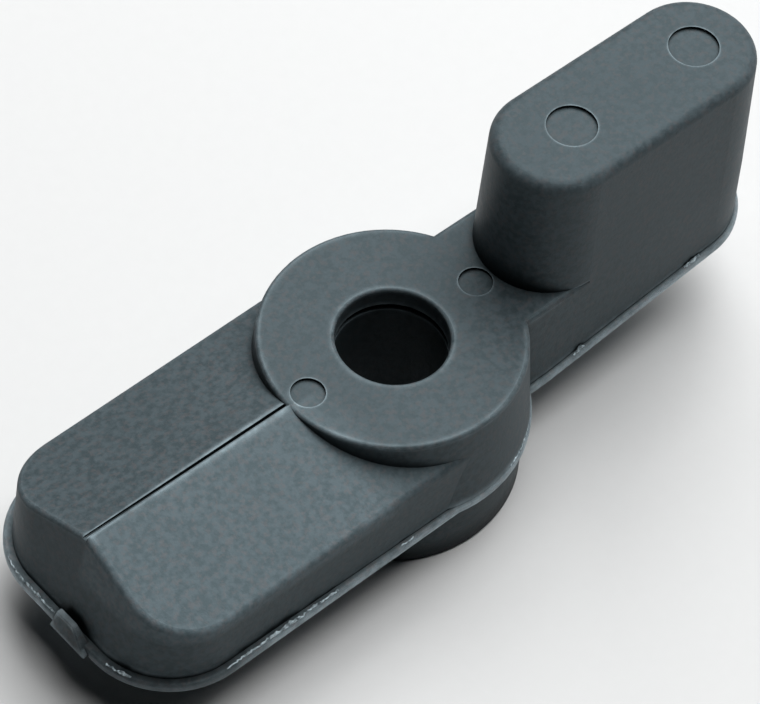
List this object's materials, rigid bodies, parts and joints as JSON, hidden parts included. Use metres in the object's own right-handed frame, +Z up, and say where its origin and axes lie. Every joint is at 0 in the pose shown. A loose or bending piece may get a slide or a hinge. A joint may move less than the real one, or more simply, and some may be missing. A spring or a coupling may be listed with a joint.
{
  "type": "turn latch lever",
  "caption": "Moulded turn latch lever with a wedge-topped paddle, an upright finger lug and a round pedestal that it turns on.",
  "frame": {"origin": "centre of the pedestal's flat seat, on the bolt bore's axis", "axes": "+Z up the bore, away from the deck; +X along the lever towards the upright finger lug"},
  "size_m": [0.0805, 0.0268, 0.0318],
  "materials": {
    "dark_nylon": "lightly grained matte moulding",
    "natural_acetal": "smooth satin",
    "stainless": "plain stainless steel"
  },
  "bodies": {
    "pedestal": {"pivot_base": "dark_nylon", "friction_washer": "natural_acetal", "retaining_ring": "stainless", "thrust_washer": "stainless"},
    "lever": {"lever_body": "dark_nylon", "base_plate": "dark_nylon", "plate_screws": "stainless", "bearing_sleeve": "natural_acetal"}
  },
  "joints": [
    {"name": "lever_turn", "type": "hinge", "parent": "pedestal", "child": "lever", "pos_m": [0, 0, 0.0107], "axis": [0, 0, 1], "continuous": true}
  ]
}
